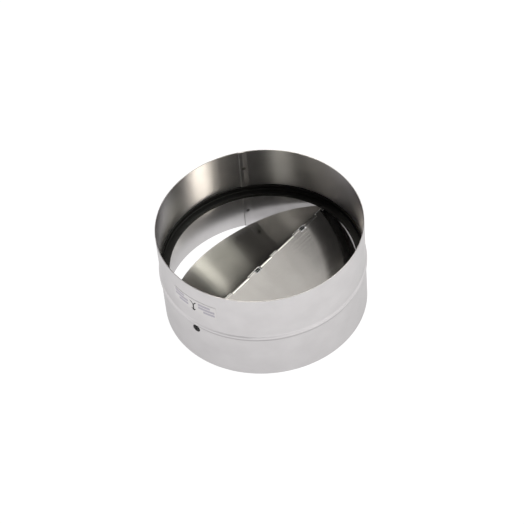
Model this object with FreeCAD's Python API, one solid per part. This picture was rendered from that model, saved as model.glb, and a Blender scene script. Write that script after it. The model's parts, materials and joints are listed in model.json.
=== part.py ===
import FreeCAD, Part
import math
import os

from FreeCAD import Placement, Rotation, Vector

# Duct backdraft damper: a rolled sheet casing with a black sealing ring in its bead, and two half-round
# blades that swing down from the ring on one hinge pin. Millimetres, +Z up along the duct, origin at the
# centre of the lower rim, hinge pin along X with the front at -X and the left blade at +Y.

# casing, one sheet rolled to a tube and joined by a spot-welded lap
casing_diameter = 149.0  # outside, to slide into a 150 duct
casing_length = 77.5
casing_sheet = 0.6
bead_level = 38.6  # crest of the bead above the lower rim
bead_width = 6.0  # from foot to foot
bead_crest = 2.0  # width of the flat crest
bead_height = 1.0  # how far the crest stands out of the wall
lap_angle = 51.8  # degrees from +X to the free edge of the inner layer
lap_width = 6.4
lap_ramp_slope = 30.0  # degrees, where the inner layer bends in from the wall
seam_groove_width = 0.4
seam_groove_depth = 0.25
weld_spread = 22.0  # height of a weld above or below the bead's crest
weld_diameter = 3.0
weld_depth = 0.15

# sealing ring, black rubber with its root in the bead
ring_lip = 6.0  # how far the lip reaches inward from the wall
ring_lip_thickness = 2.8
ring_root_thickness = 0.9  # inside the wall line, above the lip
ring_overlap = 0.5  # wall covered beyond each foot of the bead
ring_clearance = 0.1
ring_bevel = 0.5  # on the lip's upper edge

# hinge pin and the two plastic bushes that carry its ends
pin_diameter = 1.5
pin_chamfer = 0.2
pin_end_play = 0.1
bush_plug_diameter = 6.2  # closes the hole in the casing, flush with the outside
bush_plug_inset = 0.1  # from the outside of the casing to the plug's face
bush_flange_diameter = 9.0  # inside the casing, cut flat under the sealing ring
bush_flange_thickness = 0.8
bush_boss_diameter = 2.8
bush_end_wall = 0.6  # plastic left beyond the pin's end
bush_pin_clearance = 0.03
bush_hole_clearance = 0.05
bush_blade_gap = 0.6

# blades, two half-round sheets with rolled knuckles
blade_sheet = 0.4
blade_gap = 1.7  # between the round edge and the lap
blade_corner_radius = 3.0
seal_gap = 0.65  # between a closed blade and the ring
table_gap = 0.4  # between the left blade's low edge and the plane of the lower rim
right_blade_fall = 19.0  # degrees the right blade hangs open, held up a little by the springs
knuckle_clearance = 0.05
knuckle_wrap = 295.0  # degrees of curl from the top of the pin
knuckle_pitch = 25.7
right_knuckle_width = 6.4
knuckle_side_gap = 0.3
knuckle_row_end = 1.1  # blade edge left beyond the last knuckle
notch_clearance = 0.15  # between a knuckle and the other blade's notch

# return springs, one coil on the pin with a leg under each blade
spring_wire = 0.5
spring_wire_sides = 6  # flats that stand for the round wire
spring_turns = 3  # whole turns, counted with the legs in line
spring_turn_gap = 0.75
spring_pin_clearance = 0.15
spring_side_gap = 0.95
spring_leg = 14.0
spring_leg_gap = 0.1
left_spring_window = 0.4  # depth of the slots beyond the notches
right_spring_window = 0.8
spring_pitch_counts = {"centre_spring": -0.5, "rear_spring": 1.5}  # pitches from the middle to its knuckle

casing_radius = casing_diameter / 2
bore_radius = casing_radius - casing_sheet
bead_turn = math.atan2(bead_height, (bead_width - bead_crest) / 2)
lap_span = math.degrees(lap_width / bore_radius)

ring_bottom = bead_level - bead_width / 2 - ring_overlap
ring_top = bead_level + bead_width / 2 + ring_overlap
ring_lip_top = ring_bottom + ring_lip_thickness

pin_radius = pin_diameter / 2
knuckle_bore = pin_radius + knuckle_clearance
knuckle_radius = knuckle_bore + blade_sheet
hinge_level = ring_bottom - seal_gap - knuckle_radius
notch_reach = knuckle_radius + notch_clearance  # from the pin's axis to the lower edge of the sheet
notch_depth = math.sqrt(notch_reach**2 - knuckle_bore**2)

blade_radius = bore_radius - casing_sheet - blade_gap
blade_reach = math.hypot(blade_radius, knuckle_bore)
left_rest = math.asin((hinge_level - table_gap) / blade_reach) + math.atan(knuckle_bore / blade_radius)
right_rest = math.radians(right_blade_fall)
row_half = blade_radius - knuckle_row_end

bush_inner_end = blade_radius + bush_blade_gap
bush_top = casing_radius - bush_plug_inset
bush_flange_seat = math.sqrt(bore_radius**2 - bush_flange_diameter**2 / 4) - bush_hole_clearance
bush_bore_end = bush_top - bush_end_wall
pin_half = bush_bore_end - pin_end_play

coil_radius = pin_radius + spring_pin_clearance + spring_wire / 2
coil_pitch = spring_wire + spring_turn_gap
leg_height = knuckle_bore - spring_wire / 2 - spring_leg_gap  # wire's centre at the tip, above the pin's axis
leg_rise = math.atan(coil_radius / spring_leg) + math.asin(leg_height / math.hypot(spring_leg, coil_radius))
coil_missing = left_rest + right_rest - 2 * leg_rise  # turn lost from the whole turns, because the legs hang
coil_length = coil_pitch * (spring_turns - coil_missing / math.tau)
slot_width = coil_length + spring_wire + 2 * spring_side_gap

UP = Vector(0, 0, 1)
ALONG = Vector(1, 0, 0)
HINGE = Vector(0, 0, hinge_level)


def line(start, end):
    return Part.LineSegment(start, end).toShape()


def arc(start, middle, end):
    return Part.Arc(start, middle, end).toShape()


def face(edges):
    return Part.Face(Part.Wire(edges))


def polygon(points):
    return Part.Face(Part.makePolygon(points + points[:1]))


def wall_line(inset, low, high):
    """Points up the casing's wall in the XZ plane, lying inset inside its outer face, bead included."""
    narrower = inset * math.tan(bead_turn / 2)
    wall = casing_radius - inset
    foot = bead_width / 2 - narrower
    crest = bead_crest / 2 - narrower
    outline = [(wall, low), (wall, bead_level - foot), (wall + bead_height, bead_level - crest)]
    outline += [(wall + bead_height, bead_level + crest), (wall, bead_level + foot), (wall, high)]
    return [Vector(radius, 0, level) for radius, level in outline]


def wall_layer(outer, inner):
    """Section of a layer of the wall between two insets."""
    return polygon(wall_line(outer, 0, casing_length) + wall_line(inner, 0, casing_length)[::-1])


def swept(section, start, span):
    """Section in the XZ plane turned about the duct's axis, from start over span degrees."""
    solid = section.revolve(Vector(), UP, span)
    return solid.rotated(Vector(), UP, start)


def lap_layer(growth=0.0):
    """Inner layer of the lap, from inside the wall, grown by a clearance."""
    section = wall_layer(casing_sheet / 2, 2 * casing_sheet + growth)
    extra = math.degrees(growth / bore_radius)
    return swept(section, lap_angle - lap_span - extra, lap_span + 2 * extra)


def lap_ramp():
    """Wedge taken off the lap where the sheet bends in from the wall."""
    block = Part.makeBox(lap_width, lap_width, casing_length)
    block.translate(Vector(-lap_width, -lap_width, 0))
    block.rotate(Vector(), UP, lap_ramp_slope)
    block.translate(Vector(bore_radius, 0, 0))
    return block.rotated(Vector(), UP, lap_angle - lap_span)


def weld_marks():
    """Balls that press a shallow dimple into both faces of the lap at each weld."""
    ball = (weld_diameter**2 / 4 + weld_depth**2) / (2 * weld_depth)
    inner = bore_radius - casing_sheet + weld_depth - ball
    outer = casing_radius - weld_depth + ball
    marks = []
    for level in (bead_level - weld_spread, bead_level + weld_spread):
        for radius in (inner, outer):
            mark = Part.makeSphere(ball, Vector(radius, 0, level))
            marks.append(mark.rotated(Vector(), UP, lap_angle - lap_span / 2))
    return marks


def bush_hole():
    radius = bush_plug_diameter / 2 + bush_hole_clearance
    return Part.makeCylinder(radius, 2 * casing_diameter, HINGE - ALONG * casing_diameter, ALONG)


def make_casing():
    tube = swept(wall_layer(0.0, casing_sheet), 0.0, 360.0)
    casing = tube.fuse(lap_layer().cut(lap_ramp()))
    groove_span = math.degrees(seam_groove_width / casing_radius)
    groove = swept(wall_layer(-bead_height, seam_groove_depth), lap_angle - lap_span, groove_span)
    return casing.cut([groove, bush_hole()] + weld_marks()).removeSplitter()


def make_sealing_ring():
    root = bore_radius - ring_root_thickness
    tip = bore_radius - ring_lip
    free_side = [(root, ring_top), (root, ring_lip_top)]
    free_side += [(tip + ring_bevel, ring_lip_top), (tip, ring_lip_top - ring_bevel), (tip, ring_bottom)]
    wall_side = wall_line(casing_sheet + ring_clearance, ring_bottom, ring_top)
    ring = swept(polygon(wall_side + [Vector(radius, 0, level) for radius, level in free_side]), 0.0, 360.0)
    return ring.cut(lap_layer(ring_clearance))


def make_hinge_pin():
    pin = Part.makeCylinder(pin_radius, 2 * pin_half, HINGE - ALONG * pin_half, ALONG)
    rims = [edge for edge in pin.Edges if isinstance(edge.Curve, Part.Circle)]
    return pin.makeChamfer(pin_chamfer, rims)


def make_bush(end):
    """Blind flanged bush at the front end (-1) or the rear end (1) of the pin."""

    def at(along, radius):
        return Vector(end * along, 0, hinge_level - radius)

    boss = bush_boss_diameter / 2
    flange = bush_flange_diameter / 2
    plug = bush_plug_diameter / 2
    bore = pin_radius + bush_pin_clearance
    flange_back = bush_flange_seat - bush_flange_thickness
    outline = [at(bush_bore_end, 0), at(bush_bore_end, bore), at(bush_inner_end, bore)]
    outline += [at(bush_inner_end, boss), at(flange_back, boss), at(flange_back, flange)]
    outline += [at(bush_flange_seat, flange), at(bush_flange_seat, plug), at(bush_top, plug), at(bush_top, 0)]
    bush = polygon(outline).revolve(HINGE, ALONG, 360.0)
    inside = bore_radius + ring_clearance
    above = Part.makeBox(2 * inside, bush_flange_diameter, bush_flange_diameter)
    above.translate(Vector(-inside, -bush_flange_diameter / 2, ring_bottom - ring_clearance))
    return bush.cut(above)


def right_knuckles():
    """Spans along X of the right blade's knuckles, as many as fit on the row."""
    per_side = int((row_half - right_knuckle_width / 2) / knuckle_pitch + 0.5)
    centres = [(index + 0.5) * knuckle_pitch for index in range(-per_side, per_side)]
    return [(x - right_knuckle_width / 2, x + right_knuckle_width / 2) for x in centres]


def spring_slot(pitch_count):
    """Span along X that a spring's coil takes on the pin, beside its knuckle."""
    start = pitch_count * knuckle_pitch + right_knuckle_width / 2
    return start, start + slot_width


def left_knuckles():
    """Spans along X left over between the right blade's knuckles and the springs."""
    taken = right_knuckles() + [spring_slot(count) for count in spring_pitch_counts.values()]
    taken = [(-row_half, -row_half)] + sorted(taken) + [(row_half, row_half)]
    spans = [(a[1] + knuckle_side_gap, b[0] - knuckle_side_gap) for a, b in zip(taken, taken[1:])]
    return [(low, high) for low, high in spans if high - low > knuckle_side_gap]


def make_knuckle(side, low, high):
    """One rolled knuckle and the tab that joins it to the blade, on the closed blade of that side."""

    def round_pin(radius, turn):
        angle = math.radians(90 + turn)
        return Vector(low, side * radius * math.cos(angle), hinge_level + radius * math.sin(angle))

    def on_tab(height):
        return Vector(low, side * notch_depth, hinge_level + height)

    outer = [round_pin(knuckle_radius, turn) for turn in (0, knuckle_wrap / 2, knuckle_wrap)]
    inner = [round_pin(knuckle_bore, turn) for turn in (knuckle_wrap, knuckle_wrap / 2, 0)]
    section = face(
        [
            line(on_tab(knuckle_radius), outer[0]),
            arc(*outer),
            line(outer[-1], inner[0]),
            arc(*inner),
            line(inner[-1], on_tab(knuckle_bore)),
            line(on_tab(knuckle_bore), on_tab(knuckle_radius)),
        ]
    )
    return section.extrude(ALONG * (high - low))


def make_blade(side, rest, knuckles, window_depth):
    """Half-round blade at +Y (1) or -Y (-1), made closed and then swung open to its place at rest."""
    half_chord = math.sqrt(blade_radius**2 - notch_depth**2)
    level = hinge_level + knuckle_bore
    ends = [Vector(x, side * notch_depth, level) for x in (-half_chord, half_chord)]
    outline = face([line(*ends), arc(ends[1], Vector(0, side * blade_radius, level), ends[0])])
    plate = outline.extrude(UP * blade_sheet)
    corners = [edge for edge in plate.Edges if edge.tangentAt(edge.FirstParameter).isParallel(UP, 1e-6)]
    plate = plate.makeFillet(blade_corner_radius, corners)
    blade = plate.fuse([make_knuckle(side, low, high) for low, high in knuckles])
    for pitch_count in spring_pitch_counts.values():
        low, high = spring_slot(pitch_count)
        window = Part.makeBox(high - low, notch_depth + window_depth, 2 * knuckle_radius)
        window.translate(Vector(low, min(0, side * (notch_depth + window_depth)), hinge_level))
        blade = blade.cut(window)
    blade = blade.removeSplitter()
    return blade.rotated(HINGE, ALONG, -side * math.degrees(rest))


def make_spring(pitch_count):
    """Torsion spring: right leg, coil and left leg as one wire, wound along +X."""
    first = right_rest - leg_rise - math.pi / 2
    last = leg_rise - left_rest - math.pi / 2
    slot_low, slot_high = spring_slot(pitch_count)
    start_x = (slot_low + slot_high - coil_length) / 2
    slope = coil_pitch / math.tau

    def on_coil(angle, x):
        return Vector(x, coil_radius * math.cos(angle), hinge_level + coil_radius * math.sin(angle))

    def ahead(angle):
        return Vector(slope, -coil_radius * math.sin(angle), coil_radius * math.cos(angle)).normalize()

    start = on_coil(first, start_x)
    end = on_coil(last, start_x + coil_length)
    right_tip = start - ahead(first) * spring_leg
    left_tip = end + ahead(last) * spring_leg
    coil = Part.makeHelix(coil_pitch, coil_length, coil_radius)
    lay_along_pin = Rotation(Vector(1, 1, 1), 120)  # sends X, Y, Z to Y, Z, X
    turn = Rotation(ALONG, math.degrees(first))
    coil.Placement = Placement(Vector(start_x, 0, hinge_level), turn.multiply(lay_along_pin))
    path = Part.Wire([line(right_tip, start)] + coil.Edges + [line(end, left_tip)])
    across = ahead(first).cross(ALONG).normalize() * (spring_wire / 2)
    turns = [Rotation(ahead(first), 360.0 * i / spring_wire_sides) for i in range(spring_wire_sides + 1)]
    section = Part.makePolygon([right_tip + turn.multVec(across) for turn in turns])
    return path.makePipeShell([section], True, False)


parts = {
    "casing": make_casing(),
    "sealing_ring": make_sealing_ring(),
    "hinge_pin": make_hinge_pin(),
    "front_bush": make_bush(-1),
    "rear_bush": make_bush(1),
    "left_blade": make_blade(1, left_rest, left_knuckles(), left_spring_window),
    "right_blade": make_blade(-1, right_rest, right_knuckles(), right_spring_window),
}
for name, pitch_count in spring_pitch_counts.items():
    parts[name] = make_spring(pitch_count)

os.makedirs("parts", exist_ok=True)
for name, shape in parts.items():
    shape.exportStep(f"parts/{name}.step")
print(f"hinge level {hinge_level:.2f}, left blade rests {math.degrees(left_rest):.2f} degrees open")
print(f"blade radius {blade_radius:.2f}, spring slot {slot_width:.2f}")
for name, shape in parts.items():
    print(f"{name}: {len(shape.Solids)} solid, {shape.Volume:.1f} mm3, valid {shape.isValid()}")
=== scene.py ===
import json
import math

import bmesh
import bpy
import numpy as np
from mathutils import Matrix, Vector


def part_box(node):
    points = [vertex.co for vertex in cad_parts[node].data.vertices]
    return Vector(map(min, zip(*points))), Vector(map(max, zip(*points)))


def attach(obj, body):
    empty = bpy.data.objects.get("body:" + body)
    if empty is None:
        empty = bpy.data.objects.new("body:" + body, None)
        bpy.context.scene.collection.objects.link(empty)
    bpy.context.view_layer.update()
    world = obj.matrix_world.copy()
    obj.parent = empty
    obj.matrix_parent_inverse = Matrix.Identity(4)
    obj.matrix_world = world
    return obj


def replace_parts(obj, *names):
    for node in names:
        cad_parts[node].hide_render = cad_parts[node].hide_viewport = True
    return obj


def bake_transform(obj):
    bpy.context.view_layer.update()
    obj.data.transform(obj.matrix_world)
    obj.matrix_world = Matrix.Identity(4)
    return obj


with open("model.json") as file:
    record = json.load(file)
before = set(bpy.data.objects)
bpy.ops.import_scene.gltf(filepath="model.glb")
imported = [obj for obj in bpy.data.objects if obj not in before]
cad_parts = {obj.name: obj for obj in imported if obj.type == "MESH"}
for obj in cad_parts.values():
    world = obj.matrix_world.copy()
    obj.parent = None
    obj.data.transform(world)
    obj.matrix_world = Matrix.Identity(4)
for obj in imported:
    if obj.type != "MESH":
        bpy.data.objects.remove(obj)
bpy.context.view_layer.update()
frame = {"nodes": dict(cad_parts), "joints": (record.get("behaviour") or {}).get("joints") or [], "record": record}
print("frame loaded with", len(frame["nodes"]), "nodes")

mm = 0.001  # the part is worked out in millimetres; meshes, stage and lamps are in metres
mounts = {mount["name"]: mount["dims"] for mount in frame["record"]["mounts"]}
joints = {joint["name"]: joint for joint in frame["joints"]}
wallRadius = mounts["upper_spigot"]["r_mm"]
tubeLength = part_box("casing")[1].z / mm
beadLow = mounts["lower_spigot"]["length_mm"]
beadHigh = tubeLength - mounts["upper_spigot"]["length_mm"]
beadLevel = (beadLow + beadHigh) / 2
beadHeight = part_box("casing")[1].x / mm - wallRadius
ringLow, ringHigh = (corner.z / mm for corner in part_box("sealing_ring"))
hingeLevel = joints["left_blade_swing"]["pos_m"][2] / mm
leftRest = -math.radians(joints["left_blade_swing"]["range_deg"][0])
rightRest = -math.radians(joints["right_blade_swing"]["range_deg"][0])


def rgb(hexCode):  # sRGB hex to linear RGBA, by the standard curve
    parts = np.array([int(hexCode[i:i + 2], 16) for i in (0, 2, 4)]) / 255
    linear = np.where(parts <= 0.04045, parts / 12.92, ((parts + 0.055) / 1.055) ** 2.4)
    return (*linear.tolist(), 1.0)


def setInputs(tree, node, inputs):  # inputs hold values, or sockets to link
    for key, value in dict(inputs).items():
        if isinstance(value, bpy.types.NodeSocket):
            tree.links.new(value, node.inputs[key])
        else:
            node.inputs[key].default_value = value


def addNode(tree, kind, inputs=(), output=0, **settings):  # gives back the output that was asked for
    node = tree.nodes.new("ShaderNode" + kind)
    for key, value in settings.items():
        setattr(node, key, value)
    setInputs(tree, node, inputs)
    return node.outputs[output]


def newMaterial(name):
    material = bpy.data.materials.new(name)
    material.use_nodes = True
    tree = material.node_tree
    return material, tree, tree.nodes["Principled BSDF"]


share, valueA, valueB, colourA, colourB = 0, 2, 3, 6, 7  # inputs of a Mix node, several of which share a name
mixedColour = 2  # its output for colours
mapKeys = ("From Min", "From Max", "To Min", "To Max")
noiseSpan = (0.3, 0.7)  # noise seldom leaves these values
patchNoise = {"Scale": 1.0, "Detail": 3.0}  # the mapping before it carries the real size
lineNoise = {"Scale": 1.0, "Detail": 2.0}


def noiseTo(low, high):  # the numbers that map noise onto low to high
    return dict(zip(mapKeys, (*noiseSpan, low, high)))


def grainAt(tree, sizesMm, noise):  # grains of these sizes along x, y and z, fixed to the piece
    place = addNode(tree, "TexCoord", output="Object")
    scale = tuple(1 / (size * mm) for size in sizesMm)
    mapped = addNode(tree, "Mapping", {"Vector": place, "Scale": scale})
    return addNode(tree, "TexNoise", {"Vector": mapped, **noise})


def mottled(tree, grain, finish):  # from the finish's dark to its light colour by the grain
    blend = addNode(tree, "MapRange", {"Value": grain, **noiseTo(0.0, 1.0)})
    ends = {share: blend, colourA: rgb(finish["dark"]), colourB: rgb(finish["light"])}
    return addNode(tree, "Mix", ends, mixedColour, data_type="RGBA")


galvanisedFinish = {
    "dark": "cfcccd",
    "light": "d6d3d4",
    "weld": "2e2824",
    "edgeTint": "e8e8e8",  # zinc dulls towards its edges
    "patchMm": (18, 18, 14),  # slow patches left by the bath
    "lineMm": (40, 40, 0.5),  # rolling lines, real 0.1 mm, drawn coarser to show
    "lineDepthMm": 0.0002,
    "roughness": (0.28, 0.30),
    "cutRoughness": 0.8,  # the sheared edge is matt
    "smear": 0.6,
    "smearTurn": 0.25,  # in whole turns
}


def galvanisedSheet():
    # zinc-coated sheet, skin-passed and rolled round: fine lines run round it, so gloss smears up and down
    finish = galvanisedFinish
    material, tree, shader = newMaterial("galvanised_sheet_steel")
    zinc = mottled(tree, grainAt(tree, finish["patchMm"], patchNoise), finish)
    weld = addNode(tree, "Attribute", output="Fac", attribute_name="weldTint")
    scorched = {share: weld, colourA: zinc, colourB: rgb(finish["weld"])}
    lines = grainAt(tree, finish["lineMm"], lineNoise)
    rolled = addNode(tree, "MapRange", {"Value": lines, **noiseTo(*finish["roughness"])})
    sheared = addNode(tree, "Attribute", output="Fac", attribute_name="shearedEdge")
    cut = {share: sheared, valueA: rolled, valueB: finish["cutRoughness"]}
    depth = {"Height": lines, "Distance": finish["lineDepthMm"] * mm, "Strength": 1.0}
    setInputs(tree, shader, {
        "Base Color": addNode(tree, "Mix", scorched, mixedColour, data_type="RGBA"),
        "Metallic": 1.0,
        "Roughness": addNode(tree, "Mix", cut),
        "Specular Tint": rgb(finish["edgeTint"]),
        "Anisotropic": finish["smear"],
        "Anisotropic Rotation": finish["smearTurn"],
        "Tangent": addNode(tree, "Tangent", direction_type="RADIAL", axis="Z"),
        "Normal": addNode(tree, "Bump", depth),
    })
    return material


aluminiumFinish = {
    "dark": "d4d2cf",
    "light": "dddbd8",
    "patchMm": (14, 22, 22),
    "lineMm": (60, 0.6, 0.6),  # drawn along the hinge, real 0.1 mm, coarser to show
    "lineDepthMm": 0.0014,
    "roughness": (0.12, 0.18),
}


def millAluminium():
    # mill-finish sheet, half bright: a near mirror with a soft edge to its reflections
    finish = aluminiumFinish
    material, tree, shader = newMaterial("mill_finish_aluminium")
    lines = grainAt(tree, finish["lineMm"], lineNoise)
    depth = {"Height": lines, "Distance": finish["lineDepthMm"] * mm, "Strength": 1.0}
    setInputs(tree, shader, {
        "Base Color": mottled(tree, grainAt(tree, finish["patchMm"], patchNoise), finish),
        "Metallic": 1.0,
        "Roughness": addNode(tree, "MapRange", {"Value": lines, **noiseTo(*finish["roughness"])}),
        "Normal": addNode(tree, "Bump", depth),
    })
    return material


mouldedFinish = {  # their grain is about 0.1 mm across, drawn coarser to show
    "black_seal_rubber": {
        "dark": "0b0a0a",
        "light": "161414",
        "roughness": (0.44, 0.58),
        "gloss": 0.4,
        "grainMm": (0.8, 0.8, 0.8),
        "depthMm": 0.02,
    },
    "black_moulded_nylon": {
        "dark": "030303",
        "light": "080808",
        "roughness": (0.24, 0.38),
        "gloss": 0.12,
        "grainMm": (0.5, 0.5, 0.5),
        "depthMm": 0.01,
    },
    "black_printing_ink": {
        "dark": "121212",
        "light": "1a1a1a",
        "roughness": (0.44, 0.58),
        "gloss": 0.2,
        "grainMm": (0.6, 0.6, 0.6),
        "depthMm": 0.002,
    },
}


def moulded(name):
    # black compound, moulded or laid on wet: dull, with a fine grain that breaks the gloss
    finish = mouldedFinish[name]
    material, tree, shader = newMaterial(name)
    grain = grainAt(tree, finish["grainMm"], patchNoise)
    depth = {"Height": grain, "Distance": finish["depthMm"] * mm, "Strength": 1.0}
    setInputs(tree, shader, {
        "Base Color": mottled(tree, grain, finish),
        "Roughness": addNode(tree, "MapRange", {"Value": grain, **noiseTo(*finish["roughness"])}),
        "Specular IOR Level": finish["gloss"],
        "Normal": addNode(tree, "Bump", depth),
    })
    return material


wireFinish = {
    "drawn_steel_rod": {"dark": "8f8f90", "light": "b9b9ba", "roughness": (0.25, 0.4)},
    "oiled_spring_wire": {"dark": "1c1b1b", "light": "3a3938", "roughness": (0.3, 0.45)},
}
dieLineMm = (8, 0.3, 0.3)  # lines left by the die, real under 0.1 mm, drawn coarser to show


def drawnWire(name):
    # wire pulled through a die: lines along it break its gloss
    finish = wireFinish[name]
    material, tree, shader = newMaterial(name)
    lines = grainAt(tree, dieLineMm, lineNoise)
    setInputs(tree, shader, {
        "Base Color": mottled(tree, lines, finish),
        "Metallic": 1.0,
        "Roughness": addNode(tree, "MapRange", {"Value": lines, **noiseTo(*finish["roughness"])}),
    })
    return material


filmFinish = {
    "colours": {"silvered_label_film": "d8d5d5", "grey_ink_on_film": "b4b0b9"},
    "speckMm": (0.8, 0.8, 0.8),  # flakes in the silvering, real under 0.1 mm, drawn coarser to show
    "speck": (0.94, 1.0),
    "roughness": 0.36,
}


def printedFilm(name):
    # silvered polyester label, satin: it mirrors the floor like the sheet; print lies on it as grey fields
    finish = filmFinish
    material, tree, shader = newMaterial(name)
    flakes = grainAt(tree, finish["speckMm"], lineNoise)
    speck = addNode(tree, "MapRange", {"Value": flakes, **noiseTo(*finish["speck"])})
    ends = {share: 1.0, colourA: rgb(finish["colours"][name]), colourB: speck}
    setInputs(tree, shader, {
        "Base Color": addNode(tree, "Mix", ends, mixedColour, data_type="RGBA", blend_type="MULTIPLY"),
        "Metallic": 1.0,
        "Roughness": finish["roughness"],
    })
    return material


steelSheet = galvanisedSheet()
bladeSheet = millAluminium()
sealRubber = moulded("black_seal_rubber")
bushNylon = moulded("black_moulded_nylon")
pinSteel = drawnWire("drawn_steel_rod")
springSteel = drawnWire("oiled_spring_wire")
labelFilm = printedFilm("silvered_label_film")
labelInk = printedFilm("grey_ink_on_film")
flowInk = moulded("black_printing_ink")
print("materials made")

mergeGap = 0.002  # points closer than this are one
touch = 1e-5  # slack where a grid line lies on a limit
gridDigits = 6  # decimals that grid lines are rounded to
hold = 0.04  # each round starts this far from the next point of its flat, so that shading stays flat there
columnTurn = (-90, 270, 1.5)  # degrees round the axis: start, end and step


def quads(rows, cols, wrapRows=False, wrapCols=False):  # a wrapped direction joins its last line to its first
    i = np.arange(rows if wrapRows else rows - 1)[:, None]
    j = np.arange(cols if wrapCols else cols - 1)[None, :]
    nextI, nextJ = (i + 1) % rows, (j + 1) % cols
    corners = [i * cols + j, i * cols + nextJ, nextI * cols + nextJ, nextI * cols + j]
    return np.stack(corners, -1).reshape(-1, 4)


def makePiece(name, shells, material, sharpDeg=40.0):
    # each shell is points in millimetres and quads; doubles are merged, then faces turned outwards
    starts = np.cumsum([0] + [len(points) for points, _ in shells])
    points = np.concatenate([points for points, _ in shells]) * mm
    faces = np.concatenate([faces + start for (_, faces), start in zip(shells, starts)])
    mesh = bpy.data.meshes.new(name)
    mesh.from_pydata(points.tolist(), [], faces.tolist())
    work = bmesh.new()
    work.from_mesh(mesh)
    bmesh.ops.remove_doubles(work, verts=work.verts, dist=mergeGap * mm)
    bmesh.ops.recalc_face_normals(work, faces=work.faces)
    work.to_mesh(mesh)
    work.free()
    mesh.shade_smooth()
    mesh.set_sharp_from_angle(angle=math.radians(sharpDeg))
    mesh.materials.append(material)
    piece = bpy.data.objects.new(name, mesh)
    bpy.context.scene.collection.objects.link(piece)
    print("made", name, "with", len(mesh.polygons), "faces")
    return piece


def carried(profile, path, sideways, outwards, shrink=None):
    # profile points (a, b) carried along a path, to path + a * sideways + b * outwards; fans close the ends
    size = np.ones(len(path)) if shrink is None else shrink
    aside = profile[None, :, 0, None] * sideways[:, None, :]
    outside = profile[None, :, 1, None] * outwards[:, None, :]
    points = path[:, None, :] + (aside + outside) * size[:, None, None]
    ends = np.repeat(path[[0, -1], None, :], len(profile), axis=1)
    points = np.concatenate([ends[:1], points, ends[1:]])
    return points.reshape(-1, 3), quads(len(points), len(profile), wrapCols=True)


def roundBox(width, height, corner, steps=3):  # outline of a box with round corners, centred, anticlockwise
    turn = np.linspace(0, np.pi / 2, steps)
    turn = np.concatenate([turn[:1], turn, turn[-1:]])
    past = np.zeros(len(turn))
    past[0], past[-1] = -hold, hold
    arcs = np.concatenate([turn + k * np.pi / 2 for k in range(4)])
    signs = np.repeat([[1, 1], [-1, 1], [-1, -1], [1, -1]], len(turn), axis=0)
    middle = signs * (np.array([width, height]) / 2 - corner)
    along = np.tile(past, 4)[:, None] * np.stack([-np.sin(arcs), np.cos(arcs)], -1)
    return middle + corner * np.stack([np.cos(arcs), np.sin(arcs)], -1) + along


def roundCorners(corners, radii, steps=5):
    # closed outline, each corner rounded by its radius; quadratic curves stand for the small arcs
    corners = np.asarray(corners, float)
    before, after = np.roll(corners, 1, 0) - corners, np.roll(corners, -1, 0) - corners
    before /= np.linalg.norm(before, axis=1)[:, None]
    after /= np.linalg.norm(after, axis=1)[:, None]
    half = np.arccos(np.clip((before * after).sum(1), -1, 1)) / 2
    cut = np.asarray(radii) / np.tan(half)
    along = np.linspace(0, 1, steps)[None, :, None]
    start, end = corners + before * cut[:, None], corners + after * cut[:, None]
    curve = (1 - along) ** 2 * start[:, None] + 2 * along * (1 - along) * corners[:, None]
    curve = curve + along**2 * end[:, None]
    curve = np.concatenate([(start + hold * before)[:, None], curve, (end + hold * after)[:, None]], 1)
    return curve.reshape(-1, 2)


def around(angle, radius, z):  # cylinder coordinates to x, y, z
    turn = np.radians(angle)
    return np.stack(np.broadcast_arrays(radius * np.cos(turn), radius * np.sin(turn), z), -1)


def lineUp(base, zones):  # base values outside the zones, each zone's own values inside it
    slack = 10.0**-gridDigits
    keep = np.ones(len(base), bool)
    for zone in zones:
        keep &= (base < min(zone) - slack) | (base > max(zone) + slack)
    return np.unique(np.round(np.concatenate([base[keep], *zones]), gridDigits))


casingShape = {
    "sheet": 0.6,
    "lapAngle": 51.8,  # degrees to the free edge of the inner layer
    "lapWidth": 6.4,
    "lapRamp": 3.6,  # run over which the sheet bends in from the wall
    "edgeRun": 0.2,
    "edgeInset": 0.4,  # what lies deeper than this inside the wall is on the cut edge
    "groove": (0.4, 0.25),  # width and depth of the outer joint line
    "grooveFlank": 0.25,  # share of its width that each side slopes
    "weldSpread": 22.0,
    "weldRadius": 1.6,
    "weldDepth": 0.15,
    "weldTint": (0.85, 0.7),  # strength at the middle, and the power by which it fades
    "rimRound": 0.2,
    "holeRadius": 3.15,
    "patchHalf": 4.6,  # half the square round a bush hole
    "wave": 0.03,
    "waves": ((3, 0.4, 1.0), (7, 1.9, 0.6), (17, 0.0, 0.3)),  # count in a turn, phase and share
}
casingGrid = {
    "rows": 30,
    "patch": 17,  # grid lines across a bush hole's square
    "lap": (-1.5, 8.3, 0.25),  # millimetres back from the lap's edge
    "weld": (-2.0, 2.1, 0.4),  # millimetres up from a weld
    "bead": (0.1, 0.3),  # run past the bead's end, and step
    "rim": 4,
}
lapSpan = math.degrees(casingShape["lapWidth"] / (wallRadius - casingShape["sheet"]))
weldAngle = casingShape["lapAngle"] - lapSpan / 2


def arcFrom(angle, origin):  # millimetres round the wall from an angle in degrees
    return (np.mod(angle - origin + 180, 360) - 180) * math.radians(wallRadius)


def beadAt(z):  # a cosine squared between the bead's feet
    along = np.clip((z - beadLevel) / (beadHigh - beadLow), -0.5, 0.5)
    return beadHeight * np.cos(np.pi * along) ** 2


def lapAt(angle):  # 1 on the inner layer, with a ramp at one side and a cut edge at the other
    along = arcFrom(angle, casingShape["lapAngle"])
    ramp = np.clip((along + casingShape["lapWidth"]) / casingShape["lapRamp"], 0, 1)
    return ramp * np.clip(-along / casingShape["edgeRun"], 0, 1)


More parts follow.
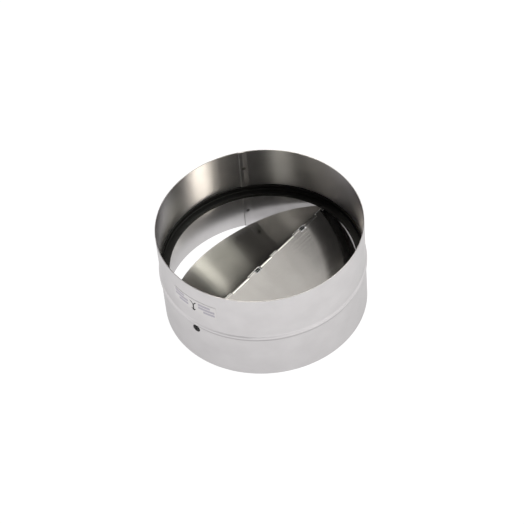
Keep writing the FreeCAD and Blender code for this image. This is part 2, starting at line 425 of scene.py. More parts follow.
def weldAt(angle, z):  # shallow round dimples, 1 at the middle of each
    rise = np.abs(z - beadLevel) - casingShape["weldSpread"]
    away = np.hypot(arcFrom(angle, weldAngle), rise) / casingShape["weldRadius"]
    return np.clip(1 - away**2, 0, 1)


def wallFaces(angle, z):
    # radius of the outer and inner face: the wall with its waves and bead, less the groove and the welds
    shape = casingShape
    turn = np.radians(angle)
    wave = shape["wave"] * sum(part * np.sin(count * turn + phase) for count, phase, part in shape["waves"])
    middle = wallRadius - shape["wave"] + wave / 2 + beadAt(z)  # halved, the waves stay under the true radius
    width, depth = shape["groove"]
    inGroove = arcFrom(angle, shape["lapAngle"]) + shape["lapWidth"]
    flank = shape["grooveFlank"] * width
    groove = depth * np.clip(np.minimum(inGroove, width - inGroove) / flank, 0, 1)
    outer = middle - groove - shape["weldDepth"] * weldAt(angle, z)
    inner = middle - shape["sheet"] * (1 + lapAt(angle)) + shape["weldDepth"] * weldAt(angle, z)
    return outer, inner


def casingSection(rows):  # outer face up, rim, inner face down, rim: share across the sheet, and height
    rim, sheet = casingShape["rimRound"], casingShape["sheet"]
    turn = np.linspace(0, np.pi / 2, casingGrid["rim"])[1:]
    rimShare = np.concatenate([rim * (1 - np.cos(turn)), sheet - rim * (1 - np.cos(turn[::-1]))]) / sheet
    rimRise = rim * np.concatenate([np.sin(turn), np.sin(turn[::-1])])
    across = np.concatenate([0 * rows, rimShare, 0 * rows + 1, rimShare[::-1]])
    height = np.concatenate([rows, tubeLength - rim + rimRise, rows[::-1], rim - rimRise[::-1]])
    return across, height


def casingSurface():
    # the section carried round the axis; squares round the bushes stay open, for patches with round holes
    shape, grid = casingShape, casingGrid
    perMm = math.degrees(1 / wallRadius)
    patch = np.linspace(-shape["patchHalf"], shape["patchHalf"], grid["patch"])
    lapStops = np.array([0, shape["edgeRun"], shape["lapWidth"] - shape["lapRamp"]])
    flank = shape["grooveFlank"]
    grooveStops = shape["lapWidth"] - shape["groove"][0] * np.array([0, flank, 1 - flank, 1])
    lapZone = shape["lapAngle"] - perMm * np.concatenate([np.arange(*grid["lap"]), lapStops, grooveStops])
    frontHole = 180 + perMm * patch
    rearHole = perMm * patch
    columns = lineUp(np.arange(*columnTurn), [lapZone, frontHole, rearHole])
    welds = [beadLevel + side * shape["weldSpread"] + np.arange(*grid["weld"]) for side in (-1, 1)]
    past, step = grid["bead"]
    bush = np.concatenate([hingeLevel + patch, np.arange(beadLow, beadHigh + past, step)])
    rim = shape["rimRound"]
    rows = lineUp(np.linspace(rim, tubeLength - rim, grid["rows"]), [*welds, bush])
    rows = np.sort(np.append(rows, [rim + hold, tubeLength - rim - hold]))
    across, height = casingSection(rows)
    outer, inner = wallFaces(columns[:, None], height[None, :])
    radius = outer + (inner - outer) * across[None, :]
    points = around(columns[:, None], radius, height[None, :])
    faces = quads(len(columns), len(height), True, True)
    column, row = faces[:, 0] // len(height), faces[:, 0] % len(height)
    nextRow = (row + 1) % len(height)
    low, high = hingeLevel - shape["patchHalf"] - touch, hingeLevel + shape["patchHalf"] + touch
    onFace = np.minimum(height[row], height[nextRow]) >= low
    onFace &= np.maximum(height[row], height[nextRow]) <= high
    levels = rows[(rows >= low) & (rows <= high)]
    holes = []
    for zone in (frontHole, rearHole):
        start, end = zone.min() - touch, zone.max() - touch
        keep = ~((columns[column] >= start) & (columns[column] < end) & onFace)
        faces, column, onFace = (part[keep] for part in (faces, column, onFace))
        holes += holePatch(np.sort(columns[(columns >= start) & (columns <= zone.max() + touch)]), levels)
    return [(points.reshape(-1, 3), faces)] + holes


def holePatch(columns, levels, rings=6):
    # the square left open in the wall is drawn in, ring by ring, to the hole's circle; a strip lines the hole
    centre = (columns[0] + columns[-1]) / 2
    sides = [(columns, levels[0]), (columns[-1], levels)]
    sides += [(columns[::-1], levels[-1]), (columns[0], levels[::-1])]
    square = np.concatenate([np.stack(np.broadcast_arrays(a, b), -1)[:-1] for a, b in sides])
    square = (square - [centre, hingeLevel]) * [math.radians(wallRadius), 1]
    circle = square / np.linalg.norm(square, axis=1)[:, None] * casingShape["holeRadius"]
    drawn = np.linspace(0, 1, rings)[:, None, None]
    plan = square + (circle - square) * drawn
    angle, z = centre + plan[..., 0] / math.radians(wallRadius), hingeLevel + plan[..., 1]
    outer, inner = (around(angle, radius, z) for radius in wallFaces(angle, z))
    strip = np.stack([outer[-1], inner[-1]])
    grids = [outer, inner, strip]
    return [(grid.reshape(-1, 3), quads(len(grid), len(square), wrapCols=True)) for grid in grids]


def markPoints(piece, name, values):  # one number for each point, for the material to read
    mark = piece.data.attributes.new(name, "FLOAT", "POINT")
    mark.data.foreach_set("value", values.astype(np.float32))


def markCasing(casing):  # scorched welds and the matt cut edge of the lap
    shape = casingShape
    places = np.empty(len(casing.data.vertices) * 3)
    casing.data.vertices.foreach_get("co", places)
    x, y, z = (places.reshape(-1, 3) / mm).T
    angle = np.degrees(np.arctan2(y, x))
    strength, power = shape["weldTint"]
    markPoints(casing, "weldTint", strength * weldAt(angle, z) ** power)
    along = arcFrom(angle, shape["lapAngle"])
    onEdge = np.abs(along + shape["edgeRun"] / 2) < shape["edgeRun"]
    onEdge &= np.hypot(x, y) < wallRadius - shape["edgeInset"]
    markPoints(casing, "shearedEdge", onEdge)


casing = makePiece("casing_sheet", casingSurface(), steelSheet)
markCasing(casing)
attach(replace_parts(casing, "casing"), "casing")

ringShape = {
    "lip": 6.0,
    "lipThickness": 2.8,
    "root": 0.9,
    "gap": 0.1,
    "ribHeight": 0.8,  # share of the bead's height that the rib fills
    "ribHalf": 0.7,
    "ribFoot": 0.4,  # run from the bead's foot to the rib's
    "lipRound": 0.7,
    "hollowRound": 0.8,
    "rootRound": 0.4,
    "fitRound": 0.05,
    "backBand": 0.06,  # what lies this near the back steps in with it
    "lapZone": (-0.8, 6.2, 0.2),  # degrees back from the lap's edge
    "lapClear": 0.12,
}


def ringSurface():
    # an L-shaped section with a rib in the bead, carried round the axis; its back steps in over the lap
    shape = ringShape
    bore = wallRadius - casingShape["sheet"]
    back = bore - shape["gap"]
    crest = back + beadHeight * shape["ribHeight"]
    root, tip = bore - shape["root"], bore - shape["lip"]
    lipTop = ringLow + shape["lipThickness"]
    fit, soft = shape["fitRound"], shape["lipRound"]
    corners = np.array([  # radius, height and round
        (back, ringLow, fit),
        (back, beadLow + shape["ribFoot"], fit),
        (crest, beadLevel - shape["ribHalf"], fit),
        (crest, beadLevel + shape["ribHalf"], fit),
        (back, beadHigh - shape["ribFoot"], fit),
        (back, ringHigh, fit),
        (root, ringHigh, shape["rootRound"]),
        (root, lipTop, shape["hollowRound"]),
        (tip, lipTop, soft),
        (tip, ringLow, soft),
    ])
    outline = roundCorners(corners[:, :2], corners[:, 2])
    onBack = outline[:, 0] > back - shape["backBand"]
    columns = lineUp(np.arange(*columnTurn), [casingShape["lapAngle"] - np.arange(*shape["lapZone"])])
    wider = np.maximum(lapAt(columns - shape["lapClear"]), lapAt(columns + shape["lapClear"]))
    radius = outline[None, :, 0] - casingShape["sheet"] * wider[:, None] * onBack[None, :]
    points = around(columns[:, None], radius, outline[None, :, 1])
    return [(points.reshape(-1, 3), quads(len(columns), len(outline), True, True))]


ring = makePiece("seal_ring", ringSurface(), sealRubber)
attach(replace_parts(ring, "sealing_ring"), "casing")

bladeShape = {
    "sheet": 0.4,
    "radius": 71.6,
    "corner": 3.0,
    "bore": 0.8,  # inside radius of a knuckle
    "wrap": 295.0,  # degrees of curl
    "pitch": 25.7,
    "rightWidth": 6.4,
    "sideGap": 0.3,
    "rowEnd": 1.1,
    "notchGap": 0.15,
    "slotDepth": {1: 0.4, -1: 0.8},  # left and right blade
    "edge": 0.16,
    "cornerRun": 0.08,
    "knuckleCorner": 0.1,
    "knuckleRoot": (0.5, 0.25),  # where a knuckle starts inside its tab
    "rootShrink": 0.98,  # it is a little slimmer there, so that it hides in the tab
    "bow": 0.12,  # how far the sheet is out of flat
    "flatRun": 6,  # it stays flat this far from the hinge
    "bowFade": 20,  # and grows flat again where the blade is narrower than this
    "sway": (21, 0.6),  # slow wave along the hinge: length of a radian, and phase
    "ripple": (11, 17, 0.6),  # slanted wave: lengths along and across the hinge, and share
}
bladeGrid = {"columns": 121, "rows": 40, "edge": 5, "curl": 40}  # points along each run
springShape = {
    "wire": 0.5,
    "turns": 3,
    "turnGap": 0.75,
    "pinRadius": 0.75,
    "pinGap": 0.15,
    "sideGap": 0.95,
    "leg": 14.0,
    "legGap": 0.1,
    "beside": {"centre_spring": -0.5, "rear_spring": 1.5},  # its knuckle, in pitches from the middle
}
springGrid = {"coil": 145, "leg": 12, "sides": 12}  # points along the coil, along a leg and round the wire
knuckleRadius = bladeShape["bore"] + bladeShape["sheet"]
notchDepth = math.sqrt((knuckleRadius + bladeShape["notchGap"]) ** 2 - bladeShape["bore"] ** 2)
coilRadius = springShape["pinRadius"] + springShape["pinGap"] + springShape["wire"] / 2
coilPitch = springShape["wire"] + springShape["turnGap"]
legHeight = bladeShape["bore"] - springShape["wire"] / 2 - springShape["legGap"]
legRise = math.atan(coilRadius / springShape["leg"])
legRise += math.asin(legHeight / math.hypot(springShape["leg"], coilRadius))
coilMissing = leftRest + rightRest - 2 * legRise  # turn lost because the legs hang with the blades
coilLength = coilPitch * (springShape["turns"] - coilMissing / math.tau)
slotWidth = coilLength + springShape["wire"] + 2 * springShape["sideGap"]


def slotSpan(count):  # a spring's slot along the pin, next to a knuckle of the right blade
    start = count * bladeShape["pitch"] + bladeShape["rightWidth"] / 2
    return start, start + slotWidth


def knuckleRows(slots):  # spans along the pin of the left and right blade's knuckles
    shape = bladeShape
    rowHalf = shape["radius"] - shape["rowEnd"]
    perSide = int((rowHalf - shape["rightWidth"] / 2) / shape["pitch"] + 0.5)
    middles = (np.arange(-perSide, perSide) + 0.5) * shape["pitch"]
    right = [(x - shape["rightWidth"] / 2, x + shape["rightWidth"] / 2) for x in middles]
    taken = sorted(right + slots)
    taken = [(-rowHalf, -rowHalf)] + taken + [(rowHalf, rowHalf)]
    left = [(a[1] + shape["sideGap"], b[0] - shape["sideGap"]) for a, b in zip(taken, taken[1:])]
    return [span for span in left if span[1] - span[0] > shape["sideGap"]], right


def swung(points, side):  # from the closed blade to its place at rest, turned about the pin
    turn = -leftRest if side > 0 else rightRest
    y, z = points[..., 1] * side, points[..., 2]
    turnedY = y * math.cos(turn) - z * math.sin(turn)
    turnedZ = y * math.sin(turn) + z * math.cos(turn)
    return np.stack([points[..., 0], turnedY, turnedZ], -1) + [0, 0, hingeLevel]


def plateOutline(knuckles, slots, slotDepth):
    # for each x along the hinge, where the half disc starts in y and how long it is: tabs reach in to the
    # knuckles, slots are cut out for the springs, and a round corner joins the hinge edge to the arc
    shape = bladeShape
    corner, run = shape["corner"], shape["cornerRun"]
    centre = math.sqrt((shape["radius"] - corner) ** 2 - (notchDepth + corner) ** 2)
    reach = centre + corner
    tabs = np.array([(low - run, low, high, high + run) for low, high in knuckles])
    cuts = np.array([(low - run, low, high, high + run) for low, high in slots]).reshape(-1, 4)
    base = reach * np.sin(np.linspace(-np.pi / 2, np.pi / 2, bladeGrid["columns"]))
    x = np.unique(np.round(np.concatenate([base, tabs.ravel(), cuts.ravel()]), gridDigits))
    inner = np.full(len(x), notchDepth)
    inner -= notchDepth * sum(np.interp(x, tab, [0, 1, 1, 0]) for tab in tabs)
    inner += slotDepth * sum(np.interp(x, cut, [0, 1, 1, 0]) for cut in cuts)
    beyond = np.clip(np.abs(x) - centre, 0, corner)
    bulge = np.sqrt(np.maximum(corner**2 - beyond**2, 0))
    inner = np.where(beyond > 0, notchDepth + corner - bulge, inner)
    tangent = centre * shape["radius"] / (shape["radius"] - corner)
    arc = np.sqrt(np.maximum(shape["radius"] ** 2 - x**2, 0))
    outer = np.where(np.abs(x) > tangent, notchDepth + corner + bulge, arc)
    return x[:, None], inner[:, None], np.maximum(outer - inner, 0)[:, None]


def plateSurface(knuckles, slots, slotDepth):
    # two faces over the half disc: for each x, y runs from the hinge edge to the round edge; the thickness
    # falls to nothing at both edges along an ellipse, and the sheet sways out of flat away from the hinge
    shape = bladeShape
    x, inner, length = plateOutline(knuckles, slots, slotDepth)
    edge = shape["edge"]
    near = np.append(edge * (1 - np.cos(np.linspace(0, np.pi / 2, bladeGrid["edge"]))), edge + hold)
    tight = np.minimum(near[None, :], length / 2)
    along = np.linspace(0, 1, bladeGrid["rows"])[1:-1]
    inside = tight[:, -1:] + (length - 2 * tight[:, -1:]) * along[None, :]
    away = np.concatenate([tight, inside, length - tight[:, ::-1]], 1)
    depth = np.clip(np.minimum(away, length - away) / edge, 0, 1)
    half = shape["sheet"] / 2 * np.sqrt(1 - (1 - depth) ** 2)
    y = inner + away
    level = shape["bore"] + shape["sheet"] / 2
    far = np.clip((y - shape["flatRun"]) / (shape["radius"] - shape["flatRun"]), 0, 1)
    swayLength, phase = shape["sway"]
    rippleAlong, rippleAcross, ripple = shape["ripple"]
    sway = np.sin(x / swayLength + phase) + ripple * np.sin(x / rippleAlong - y / rippleAcross)
    bow = shape["bow"] * far * sway * np.clip(length / shape["bowFade"], 0, 1)
    faces = [np.stack(np.broadcast_arrays(x, y, level + bow + sign * half), -1) for sign in (1, -1)]
    return [(points.reshape(-1, 3), quads(*y.shape)) for points in faces]


def knuckleSurface(low, high):
    # a round-cornered strip as wide as the knuckle, carried from inside the tab round the pin
    shape = bladeShape
    root = shape["knuckleRoot"]
    turn = np.radians(np.linspace(0, shape["wrap"], bladeGrid["curl"]))
    middle = shape["bore"] + shape["sheet"] / 2
    y = np.concatenate([root, -middle * np.sin(turn)])
    z = np.concatenate([[middle] * len(root), middle * np.cos(turn)])
    outY = np.concatenate([[0] * len(root), -np.sin(turn)])
    outZ = np.concatenate([[1] * len(root), np.cos(turn)])
    path = np.stack([np.full(len(y), (low + high) / 2), y, z], -1)
    sideways = np.tile([1.0, 0, 0], (len(y), 1))
    outwards = np.stack([0 * y, outY, outZ], -1)
    shrink = np.ones(len(y))
    shrink[:len(root)] = shape["rootShrink"]
    strip = roundBox(high - low, shape["sheet"], shape["knuckleCorner"])
    return carried(strip, path, sideways, outwards, shrink)


def bladeSurface(side, knuckles, slots):  # the plate and its knuckles, hanging as at rest
    shells = plateSurface(knuckles, slots, bladeShape["slotDepth"][side])
    shells += [knuckleSurface(low, high) for low, high in knuckles]
    return [(swung(points, side), faces) for points, faces in shells]


springSlots = [slotSpan(count) for count in springShape["beside"].values()]
leftKnuckles, rightKnuckles = knuckleRows(springSlots)
leftBlade = makePiece("left_blade_sheet", bladeSurface(1, leftKnuckles, springSlots), bladeSheet)
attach(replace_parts(leftBlade, "left_blade"), "left_blade")
rightBlade = makePiece("right_blade_sheet", bladeSurface(-1, rightKnuckles, springSlots), bladeSheet)
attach(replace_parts(rightBlade, "right_blade"), "right_blade")

bushShape = {
    "plug": 3.1,
    "flange": 4.5,
    "flangeThickness": 0.8,
    "seatGap": 0.05,
    "ringGap": 0.1,
    "boss": 1.4,
    "bore": 0.78,
    "face": 74.4,
    "dimple": (0.9, 0.6, 0.25),  # radius at the face and at its floor, and depth
    "endWall": 0.6,
    "inner": 72.2,
    "axis": 0.01,  # the outline stops this near the axis
    "rounds": {"axis": 0.001, "seat": 0.05, "edge": 0.1, "flange": 0.15, "face": 0.22},
    "roundSteps": 4,
    "sides": 72,
}


def bushSurface(end):
    # a flanged plug turned about the pin's axis; its flange is cut flat below the sealing ring
    shape = bushShape
    rounds, axis, bore, boss = (shape[key] for key in ("rounds", "axis", "bore", "boss"))
    plug, flange, face, inner = (shape[key] for key in ("plug", "flange", "face", "inner"))
    dimpleRim, dimpleFloor, dimpleDepth = shape["dimple"]
    seat = math.sqrt((wallRadius - casingShape["sheet"]) ** 2 - flange**2) - shape["seatGap"]
    back = seat - shape["flangeThickness"]
    blind = face - shape["endWall"]
    corners = np.array([  # along the axis, radius and round
        (blind, axis, rounds["axis"]),
        (blind, bore, rounds["seat"]),
        (inner, bore, rounds["edge"]),
        (inner, boss, rounds["flange"]),
        (back, boss, rounds["edge"]),
        (back, flange, rounds["flange"]),
        (seat, flange, rounds["edge"]),
        (seat, plug, rounds["seat"]),
        (face, plug, rounds["face"]),
        (face, dimpleRim, rounds["edge"]),
        (face - dimpleDepth, dimpleFloor, rounds["edge"]),
        (face - dimpleDepth, axis, rounds["axis"]),
    ])
    outline = roundCorners(corners[:, :2], corners[:, 2], shape["roundSteps"])
    turn = np.linspace(0, math.tau, shape["sides"] + 1)[:-1]
    along, radius = outline[None, :, 0], outline[None, :, 1]
    y, z = radius * np.cos(turn)[:, None], hingeLevel + radius * np.sin(turn)[:, None]
    points = np.stack(np.broadcast_arrays(end * along, y, np.minimum(z, ringLow - shape["ringGap"])), -1)
    return [(points.reshape(-1, 3), quads(len(turn), len(outline), True, True))]


for node, end in (("front_bush", -1), ("rear_bush", 1)):
    bush = makePiece(node + "_plug", bushSurface(end), bushNylon)
    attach(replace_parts(bush, node), "casing")


def springPath(count):
    # right leg, helix round the pin and left leg: the legs leave the helix along its own slope
    first = rightRest - legRise - np.pi / 2
    slope = coilPitch / math.tau
    sweep = coilLength / slope
    low, high = slotSpan(count)
    startX = (low + high - coilLength) / 2
    angle = first + np.linspace(0, sweep, springGrid["coil"])
    x = startX + slope * (angle - first)
    y, z = coilRadius * np.cos(angle), coilRadius * np.sin(angle)
    coil = np.stack([x, y, z], -1)
    ahead = np.stack([np.full(len(angle), slope), -z, y], -1)
    ahead /= np.linalg.norm(ahead, axis=1)[:, None]
    run = np.linspace(springShape["leg"], 0, springGrid["leg"])[:-1, None]
    rightLeg = coil[0] - ahead[0] * run
    leftLeg = coil[-1] + ahead[-1] * run[::-1]
    path = np.concatenate([rightLeg, coil, leftLeg])
    tangent = np.concatenate([np.tile(ahead[0], (len(run), 1)), ahead, np.tile(ahead[-1], (len(run), 1))])
    return path + [0, 0, hingeLevel], tangent, startX


def wireSurface(path, tangent):  # a circle carried along the path
    sideways = np.cross(tangent, [1.0, 0, 0])
    sideways /= np.linalg.norm(sideways, axis=1)[:, None]
    outwards = np.cross(sideways, tangent)
    turn = np.linspace(0, math.tau, springGrid["sides"] + 1)[:-1]
    circle = springShape["wire"] / 2 * np.stack([np.cos(turn), np.sin(turn)], -1)
    return carried(circle, path, sideways, outwards)


for node, count in springShape["beside"].items():  # the coil is made in two halves, each baked where it stands
    path, tangent, startX = springPath(count)
    stops = (startX, startX + coilLength / 2, startX + coilLength)
    first, middle, last = (tuple(np.array([x, 0, hingeLevel]) * mm) for x in stops)
    split = len(path) // 2
    halves = (
        ("_right_half", slice(0, split + 1), ("right_blade", "casing"), first, middle),
        ("_left_half", slice(split, None), ("casing", "left_blade"), middle, last),
    )
    for name, part, bodies, start, end in halves:
        wire = makePiece(node + name, [wireSurface(path[part], tangent[part])], springSteel)
        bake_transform(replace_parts(wire, node))

labelShape = {
    "angle": 180.0,
    "width": 38.6,
    "low": 53.0,
    "high": 64.5,
    "proud": 0.07,
    "sunk": 0.15,
    "printLift": 0.02,
    "corner": 1.0,
    "bars": (  # left, right, low and high of plain printed fields
        (-18.0, -8.5, 61.2, 63.2),
        (-18.0, -5.0, 58.2, 60.2),
        (-14.0, -5.0, 55.2, 57.2),
        (4.5, 14.5, 60.6, 62.6),
        (4.5, 17.8, 57.6, 59.6),
        (8.5, 17.8, 54.6, 56.6),
    ),
    "barCorner": 0.3,
    "step": 0.8,
    "cornerSteps": 5,
}
flowShape = {
    "top": 61.8,
    "foot": 52.9,
    "stroke": 1.1,
    "arm": 2.4,
    "armRise": 1.2,  # rise of an arm for each millimetre that it reaches aside
    "barb": 1.5,
    "barbRise": 1.3,
    "overlap": 0.4,  # the stem ends inside the arms
}


def curvedPlate(left, right, low, high, lift=0.0, corner=0.0, slant=0.0):
    # a grid along the wall and up it, bent onto the wall: outer face proud of it, back hidden in the sheet;
    # rows draw in at the corners along a quarter circle, and slant shifts the foot of the plate sideways
    shape = labelShape
    turn = np.linspace(0, np.pi / 2, shape["cornerSteps"])
    up = np.concatenate([low + corner * (1 - np.cos(turn)), high - corner * (1 - np.cos(turn[::-1]))])
    draw = corner * np.concatenate([1 - np.sin(turn), 1 - np.sin(turn[::-1])])
    across = np.linspace(0, 1, max(int((right - left) / shape["step"]), 2) + 1)
    shift = slant * (high - up) / (high - low)
    along = (left + draw + shift)[:, None] + (right - left - 2 * draw)[:, None] * across[None, :]
    angle = shape["angle"] + along / math.radians(wallRadius)
    rises = (shape["proud"] + lift, -shape["sunk"])
    faces = [around(angle, wallRadius + rise, up[:, None]) for rise in rises]
    shells = [(grid.reshape(-1, 3), quads(*angle.shape)) for grid in faces]
    rim = [np.concatenate([grid[0], grid[1:, -1], grid[-1, ::-1][1:], grid[::-1, 0][1:-1]]) for grid in faces]
    edge = np.stack(rim)
    return shells + [(edge.reshape(-1, 3), quads(2, edge.shape[1], wrapCols=True))]


def flowStrokes():  # a plain arrow: stem, two arms at its head and two barbs at its foot
    shape, lift = flowShape, labelShape["printLift"]
    half, foot, top = shape["stroke"] / 2, shape["foot"], shape["top"]
    arm, barb = shape["arm"], shape["barb"]
    join = top - arm * shape["armRise"]
    strokes = curvedPlate(-half, half, foot, join + shape["overlap"], lift)
    for side in (-1, 1):
        barbX, armX = side * barb, side * arm
        barbTop = foot + barb * shape["barbRise"]
        strokes += curvedPlate(barbX - half, barbX + half, foot, barbTop, lift, slant=-barbX)
        strokes += curvedPlate(armX - half, armX + half, join, top, lift, slant=-armX)
    return strokes


labelHalf = labelShape["width"] / 2
plate = curvedPlate(-labelHalf, labelHalf, labelShape["low"], labelShape["high"], corner=labelShape["corner"])
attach(makePiece("label_plate", plate, labelFilm), "casing")
fields = []
for bar in labelShape["bars"]:
    fields += curvedPlate(*bar, labelShape["printLift"], labelShape["barCorner"])
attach(makePiece("label_fields", fields, labelInk), "casing")
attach(makePiece("flow_mark", flowStrokes(), flowInk), "casing")

frame["nodes"]["hinge_pin"].data.materials.clear()
frame["nodes"]["hinge_pin"].data.materials.append(pinSteel)

floorShape = {
    "size": 6.0,
    "drop": 0.0002,  # it lies just under the lower rim
    "paper": "e6e6e6",
    "faint": (0.12, 0.12, 0.12, 1),  # linear share of the lamps' light that shows on the white
    "reach": 0.08,  # how far off something can shut out the light
    "samples": 24,
    "openLight": (0.01, 0.045, 0.01, 1.0),  # painted shade from the open share of the sky: from and to that share, and the white at each
    "wallFoot": (0.0735, 0.0745, 0.0, 1.0),  # distance from the axis: white again at the wall
    "rimLight": (0.045, 0.055, 0.0, 1.0),  # painted light under the right blade's rim: distance from the axis
    "rightSide": (-0.005, -0.02, 0.0, 1.0),  # and distance from the hinge
    "footShade": (0.075, 0.14, 0.84, 1.0),  # painted shade at the part's own foot, seen only in the metal
}
whiteRays = ("Is Camera Ray", "Is Glossy Ray", "Is Transmission Ray")  # what sees the white background


def seamlessPaper():
    # smooth matt paper, white to the camera and in the metal, with painted shade only where the part shuts out the
    # light; a painted stripe of light lies under the right blade's rim, and painted shade at the part's foot shows
    # only in the metal
    shape = floorShape
    material, tree, shader = newMaterial("seamless_paper")
    tree.nodes.remove(shader)
    direct, glossy, through = (addNode(tree, "LightPath", output=ray) for ray in whiteRays)
    rays = addNode(tree, "Math", {0: direct, 1: glossy}, operation="ADD")
    rays = addNode(tree, "Math", {0: rays, 1: through}, operation="ADD", use_clamp=True)
    # painted shade: the glow darkens with the open share of the sky
    sky = addNode(tree, "AmbientOcclusion", {"Distance": shape["reach"]}, "AO", samples=shape["samples"])
    place = addNode(tree, "TexCoord", output="Object")
    away = addNode(tree, "VectorMath", {0: place}, "Value", operation="LENGTH")
    aside = addNode(tree, "SeparateXYZ", {0: place}, "Y")
    mapped = {}
    for name, value, way in (
        ("openLight", sky, "SMOOTHSTEP"),
        ("wallFoot", away, "SMOOTHSTEP"),
        ("rimLight", away, "LINEAR"),
        ("rightSide", aside, "LINEAR"),
        ("footShade", away, "LINEAR"),
    ):
        ends = {"Value": value, **dict(zip(mapKeys, shape[name]))}
        mapped[name] = addNode(tree, "MapRange", ends, interpolation_type=way)
    # painted light: the stripe of glow under the right blade's rim
    slit = addNode(tree, "Math", {0: mapped["rimLight"], 1: mapped["rightSide"]}, operation="MULTIPLY")
    level = addNode(tree, "Math", {0: mapped["openLight"], 1: mapped["wallFoot"]}, operation="MAXIMUM")
    level = addNode(tree, "Math", {0: level, 1: slit}, operation="MAXIMUM")
    # painted shade at the part's foot, used only for glossy rays
    shaded = addNode(tree, "Math", {0: level, 1: mapped["footShade"]}, operation="MULTIPLY")
    level = addNode(tree, "Mix", {share: glossy, valueA: level, valueB: shaded})
    glow = addNode(tree, "Emission", {"Strength": level})
    faint = addNode(tree, "BsdfDiffuse", {"Color": shape["faint"]})
    white = addNode(tree, "AddShader", {0: glow, 1: faint})
    paper = addNode(tree, "BsdfDiffuse", {"Color": rgb(shape["paper"])})
    surface = addNode(tree, "MixShader", {0: rays, 1: paper, 2: white})
    setInputs(tree, tree.nodes["Material Output"], {"Surface": surface})
    return material


def layFloor():
    half = floorShape["size"] / 2
    corners = np.array([(-1, -1), (1, -1), (1, 1), (-1, 1)]) * half
    mesh = bpy.data.meshes.new("floor")
    mesh.from_pydata([(x, y, -floorShape["drop"]) for x, y in corners], [], [(0, 1, 2, 3)])
    mesh.materials.append(seamlessPaper())
    floor = bpy.data.objects.new("floor", mesh)
    bpy.context.scene.collection.objects.link(floor)
    return floor


layFloor()

worldShape = {
    "level": 0.03,
    "sweep": (0.04, 0.2),  # heights of a direction between which the white sweep ends in the metal
}


def studioWorld():
    # a dim room: white behind the part, and white up to the sweep's height in metal and glass
    level = worldShape["level"]
    world = bpy.data.worlds.new("studio")
    world.use_nodes = True
    tree = world.node_tree
    direct, glossy, through = (addNode(tree, "LightPath", output=ray) for ray in whiteRays)
    toward = addNode(tree, "TexCoord", output="Generated")
    height = addNode(tree, "SeparateXYZ", {0: toward}, "Z")
    ends = {"Value": height, **dict(zip(mapKeys, (*worldShape["sweep"], 1.0, level)))}
    sweep = addNode(tree, "MapRange", ends, interpolation_type="SMOOTHSTEP")
    mirrored = addNode(tree, "Math", {0: glossy, 1: through}, operation="ADD", use_clamp=True)
    strength = addNode(tree, "Mix", {share: mirrored, valueA: level, valueB: sweep})
    strength = addNode(tree, "Mix", {share: direct, valueA: strength, valueB: 1.0})
    setInputs(tree, tree.nodes["Background"], {"Color": rgb("ffffff"), "Strength": strength})
    return world


bpy.context.scene.world = studioWorld()
print("floor and world made")

lampTints = {"warm": "fffaee", "cool": "fafef2", "soft": "fffcf8", "plain": "ffffff"}
lampShape = {
    "highBank": {  # the bright stripe on the inner wall
        "toward": (0.24, 0.31, 0.92),
        "distance": 1.0, "size": (0.28, 0.2), "radiance": 10.5, "tint": "warm",
    },
    "highCard": {  # a dim step beside that stripe
        "toward": (0.03, 0.42, 0.91),
        "distance": 1.0, "size": (0.25, 0.2), "radiance": 0.9, "tint": "warm",
    },
    "sideBank": {  # the soft light on the left blade
        "toward": (0.25, -0.715, 0.655),
        "distance": 1.0, "size": (1.35, 0.6), "radiance": 1.7, "tint": "cool",
    },
    "hingeCard": {  # the bright line along the knuckles
        "toward": (0.49, -0.55, 0.67),
        "distance": 1.0, "size": (0.34, 0.3), "radiance": 3.5, "tint": "cool",
    },
    "bladeCard": {  # the right blade, and its slow fade to dark
        "toward": (0.356, -0.128, 0.926),
        "distance": 1.41, "size": (0.54, 0.9), "radiance": 0.7, "tint": "soft",
    },
    "rimCard": {  # a little light on the rim and the near wall
        "toward": (0.50, 0.32, 0.80),
        "distance": 1.3, "size": (0.3, 1.0), "radiance": 1.0, "tint": "soft",
    },
    "lowCard": {  # keeps the outer wall's far side from going dark
        "toward": (-0.35, -0.93, 0.08),
        "distance": 1.5, "size": (3.0, 0.5), "radiance": 0.6, "tint": "plain",
    },
}
target = Vector((0, 0, tubeLength / 2 * mm))


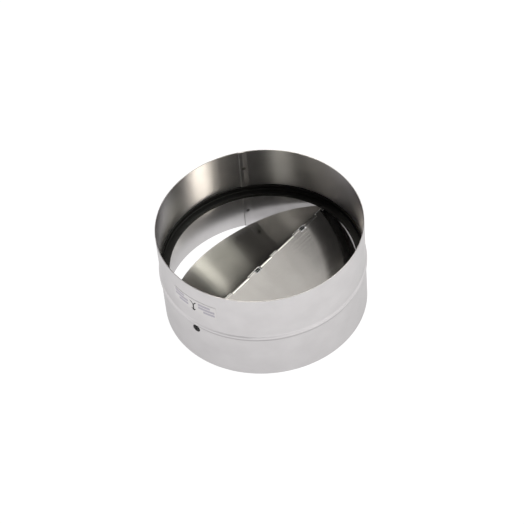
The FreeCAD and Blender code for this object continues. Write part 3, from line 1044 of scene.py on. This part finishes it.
def placeLamp(name, lamp):  # an area lamp that faces the tube's middle, with its width along the hinge
    light = bpy.data.lights.new(name, "AREA")
    light.shape = "RECTANGLE"
    light.size, light.size_y = lamp["size"]
    light.energy = math.pi * light.size * light.size_y * lamp["radiance"]
    light.color = rgb(lampTints[lamp["tint"]])[:3]
    holder = bpy.data.objects.new(name, light)
    toward = Vector(lamp["toward"]).normalized()
    across = (Vector((1, 0, 0)) - toward * toward.x).normalized()
    turned = Matrix((across, toward.cross(across), toward)).transposed().to_4x4()
    holder.matrix_world = Matrix.Translation(target + toward * lamp["distance"]) @ turned
    bpy.context.scene.collection.objects.link(holder)


for name, lamp in lampShape.items():
    placeLamp(name, lamp)
print("lamps placed")

cameraShape = {
    "azimuth": -46.5,
    "elevation": 47.28,
    "distance": 1.4364,
    "focalPixels": 1987.0,
    "imagePixels": 524,
    "sensor": 36.0,
    "clip": (0.1, 20.0),
    "roll": -5.58,
    "tilt": (0.0005, 0.0010),  # radians the axis looks aside of the middle, from the photograph's framing
}


def placeCamera():  # it stands back from the tube's middle along azimuth and elevation, then tilts and rolls
    shape = cameraShape
    turn, rise = math.radians(shape["azimuth"]), math.radians(shape["elevation"])
    back = Vector((math.sin(turn) * math.cos(rise), -math.cos(turn) * math.cos(rise), math.sin(rise)))
    aim = back.to_track_quat("Z", "Y").to_matrix().to_4x4()
    roll = Matrix.Rotation(math.radians(shape["roll"]), 4, "Z")
    tilt = Matrix.Rotation(-shape["tilt"][1], 4, "X") @ Matrix.Rotation(shape["tilt"][0], 4, "Y")
    lens = bpy.data.cameras.new("camera")
    lens.sensor_width = shape["sensor"]
    lens.lens = shape["focalPixels"] / shape["imagePixels"] * lens.sensor_width
    lens.clip_start, lens.clip_end = shape["clip"]
    camera = bpy.data.objects.new("camera", lens)
    camera.matrix_world = Matrix.Translation(target + back * shape["distance"]) @ aim @ tilt @ roll
    bpy.context.scene.collection.objects.link(camera)
    return camera


bpy.context.scene.camera = placeCamera()
bpy.context.scene.view_settings.view_transform = "Standard"
print("camera placed")
